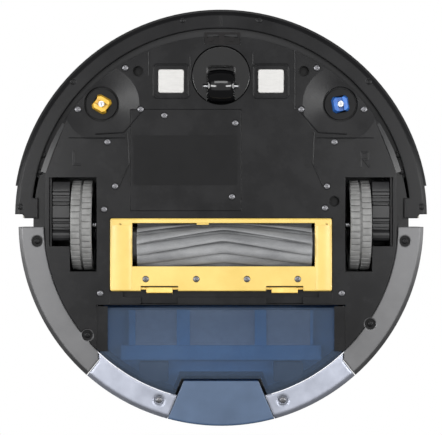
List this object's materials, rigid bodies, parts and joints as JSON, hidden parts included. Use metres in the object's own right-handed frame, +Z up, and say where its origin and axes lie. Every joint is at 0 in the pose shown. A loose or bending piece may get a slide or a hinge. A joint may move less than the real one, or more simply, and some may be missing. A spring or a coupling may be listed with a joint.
{
  "type": "robot vacuum",
  "caption": "Round robot vacuum with bumper, sprung drive wheels, caster, main roller brush under a hinged guard, side brush drives and a pull-out dust bin.",
  "frame": {"origin": "on the floor plane under the middle of the round outline, where the wheels stand", "axes": "+Z up, +Y towards the bumper (driving direction), +X to the machine's right side"},
  "size_m": [0.3064, 0.31, 0.076],
  "materials": {
    "black_abs": "fine moulded grain",
    "bumper_black": "fine moulded grain",
    "cover_gloss": "polished",
    "grey_satin": "satin",
    "strip_rubber": "matt",
    "pale_plastic": "satin",
    "zinc_screw": "bright zinc",
    "black_screw": "black oxide",
    "nickel": "bright nickel",
    "steel": "ground",
    "tyre_grey": "moulded tread",
    "caster_black": "polished",
    "yellow_hub": "satin",
    "blue_hub": "satin",
    "gold_cover": "satin",
    "roller_grey": "soft rubber",
    "smoke_blue": "clear polycarbonate",
    "silver_trim": "glossy silver lavender",
    "filter_grey": "pleated",
    "battery_wrap": "shrink wrap",
    "board_green": "solder mask",
    "sensor_dark": "polished"
  },
  "bodies": {
    "chassis": {"base_pan": "black_abs", "latch_sill": "black_abs", "top_cover": "cover_gloss", "side_skirt_right": "grey_satin", "side_skirt_left": "grey_satin", "chassis_screws": "zinc_screw", "bumper_switches": "black_abs", "wheel_housing_right": "black_abs", "wheel_housing_left": "black_abs", "arm_pins": "steel", "suspension_springs": "steel", "side_brush_gearboxes": "black_abs", "brush_housing": "black_abs", "roller_bearings": "gold_cover", "brush_motor": "steel", "drive_belt": "strip_rubber", "battery_door": "black_abs", "battery_pack": "battery_wrap", "charging_contacts": "nickel", "cliff_sensor": "sensor_dark", "main_board": "board_green", "charge_socket": "black_abs", "fan_housing": "black_abs"},
    "bumper": {"bumper_shell": "bumper_black", "bumper_strip": "strip_rubber", "bumper_screws": "black_screw", "bumper_guides": "pale_plastic"},
    "drive_arm_right": {"drive_gearbox_right": "black_abs", "drive_motor_right": "steel"},
    "drive_arm_left": {"drive_gearbox_left": "black_abs", "drive_motor_left": "steel"},
    "drive_wheel_right": {"wheel_axle_right": "steel", "wheel_hub_right": "black_abs", "tyre_right": "tyre_grey"},
    "drive_wheel_left": {"wheel_axle_left": "steel", "wheel_hub_left": "black_abs", "tyre_left": "tyre_grey"},
    "caster_swivel": {"caster_yoke": "black_abs"},
    "caster_roller": {"caster_wheel": "caster_black", "caster_axle": "steel"},
    "side_brush_yellow": {"side_brush_hub_yellow": "yellow_hub", "side_brush_shaft_yellow": "steel"},
    "side_brush_blue": {"side_brush_hub_blue": "blue_hub", "side_brush_shaft_blue": "steel"},
    "main_brush": {"roller_shaft": "steel", "roller_vanes": "roller_grey", "roller_pulley": "black_abs"},
    "brush_motor_pulley": {"motor_pulley": "steel"},
    "brush_guard": {"brush_cover": "gold_cover", "cover_screws": "zinc_screw"},
    "guard_latch_right": {"cover_latch_right": "gold_cover"},
    "guard_latch_left": {"cover_latch_left": "gold_cover"},
    "dust_bin": {"bin_tub": "smoke_blue", "bin_lid": "smoke_blue", "dust_filter": "filter_grey", "bin_trim": "silver_trim", "bin_screws": "zinc_screw"},
    "bin_release": {"release_button": "smoke_blue"},
    "start_key": {"start_button": "silver_trim"},
    "fan_rotor": {"fan_impeller": "black_abs"}
  },
  "joints": [
    {"name": "bumper_press", "type": "slide", "parent": "chassis", "child": "bumper", "axis": [0, -1, 0], "range_m": [0, 0.005], "stiffness_N_per_m": 250, "springref_m": -0.004},
    {"name": "drive_arm_right_drop", "type": "hinge", "parent": "chassis", "child": "drive_arm_right", "pos_m": [0.1187, 0.018, 0.034], "axis": [1, 0, 0], "range_deg": [0, 20], "stiffness_Nm_per_rad": 0.06, "springref_deg": 57.3},
    {"name": "drive_arm_left_drop", "type": "hinge", "parent": "chassis", "child": "drive_arm_left", "pos_m": [-0.1187, 0.018, 0.034], "axis": [1, 0, 0], "range_deg": [0, 20], "stiffness_Nm_per_rad": 0.06, "springref_deg": 57.3},
    {"name": "drive_wheel_right_spin", "type": "hinge", "parent": "drive_arm_right", "child": "drive_wheel_right", "pos_m": [0.1035, -0.0057, 0.0335], "axis": [1, 0, 0], "continuous": true},
    {"name": "drive_wheel_left_spin", "type": "hinge", "parent": "drive_arm_left", "child": "drive_wheel_left", "pos_m": [-0.1035, -0.0057, 0.0335], "axis": [1, 0, 0], "continuous": true},
    {"name": "caster_swivel_turn", "type": "hinge", "parent": "chassis", "child": "caster_swivel", "pos_m": [0, 0.1053, 0.03], "axis": [0, 0, 1], "continuous": true},
    {"name": "caster_wheel_spin", "type": "hinge", "parent": "caster_swivel", "child": "caster_roller", "pos_m": [0, 0.0973, 0.0125], "axis": [1, 0, 0], "continuous": true},
    {"name": "side_brush_yellow_spin", "type": "hinge", "parent": "chassis", "child": "side_brush_yellow", "pos_m": [0.0885, 0.084, 0.01], "axis": [0, 0, 1], "continuous": true},
    {"name": "side_brush_blue_spin", "type": "hinge", "parent": "chassis", "child": "side_brush_blue", "pos_m": [-0.0885, 0.084, 0.01], "axis": [0, 0, 1], "continuous": true},
    {"name": "main_brush_spin", "type": "hinge", "parent": "chassis", "child": "main_brush", "pos_m": [0, -0.0202, 0.021], "axis": [1, 0, 0], "continuous": true},
    {"name": "brush_motor_pulley_spin", "type": "hinge", "parent": "chassis", "child": "brush_motor_pulley", "pos_m": [0.0726, -0.052, 0.051], "axis": [1, 0, 0], "continuous": true},
    {"name": "brush_guard_swing", "type": "hinge", "parent": "chassis", "child": "brush_guard", "pos_m": [0, -0.0022, 0.0091], "axis": [1, 0, 0], "range_deg": [0, 90]},
    {"name": "guard_latch_right_press", "type": "hinge", "parent": "brush_guard", "child": "guard_latch_right", "pos_m": [0.0456, -0.0526, 0.0094], "axis": [1, 0, 0], "range_deg": [0, 12], "stiffness_Nm_per_rad": 0.02, "springref_deg": -5.73},
    {"name": "guard_latch_left_press", "type": "hinge", "parent": "brush_guard", "child": "guard_latch_left", "pos_m": [-0.04715, -0.0526, 0.0094], "axis": [1, 0, 0], "range_deg": [0, 12], "stiffness_Nm_per_rad": 0.02, "springref_deg": -5.73},
    {"name": "dust_bin_pull", "type": "slide", "parent": "chassis", "child": "dust_bin", "axis": [0, -1, 0], "range_m": [0, 0.12]},
    {"name": "bin_release_press", "type": "slide", "parent": "dust_bin", "child": "bin_release", "axis": [0, 0, 1], "range_m": [0, 0.003], "stiffness_N_per_m": 400, "springref_m": -0.002},
    {"name": "start_key_press", "type": "slide", "parent": "chassis", "child": "start_key", "axis": [0, 0, -1], "range_m": [0, 0.0012], "stiffness_N_per_m": 600, "springref_m": -0.001},
    {"name": "fan_spin", "type": "hinge", "parent": "chassis", "child": "fan_rotor", "pos_m": [-0.036, -0.032, 0.05], "axis": [0, 0, 1], "continuous": true}
  ],
  "couplings": [
    {"joint": "brush_motor_pulley_spin", "follows": "main_brush_spin", "ratio": 1.5}
  ]
}
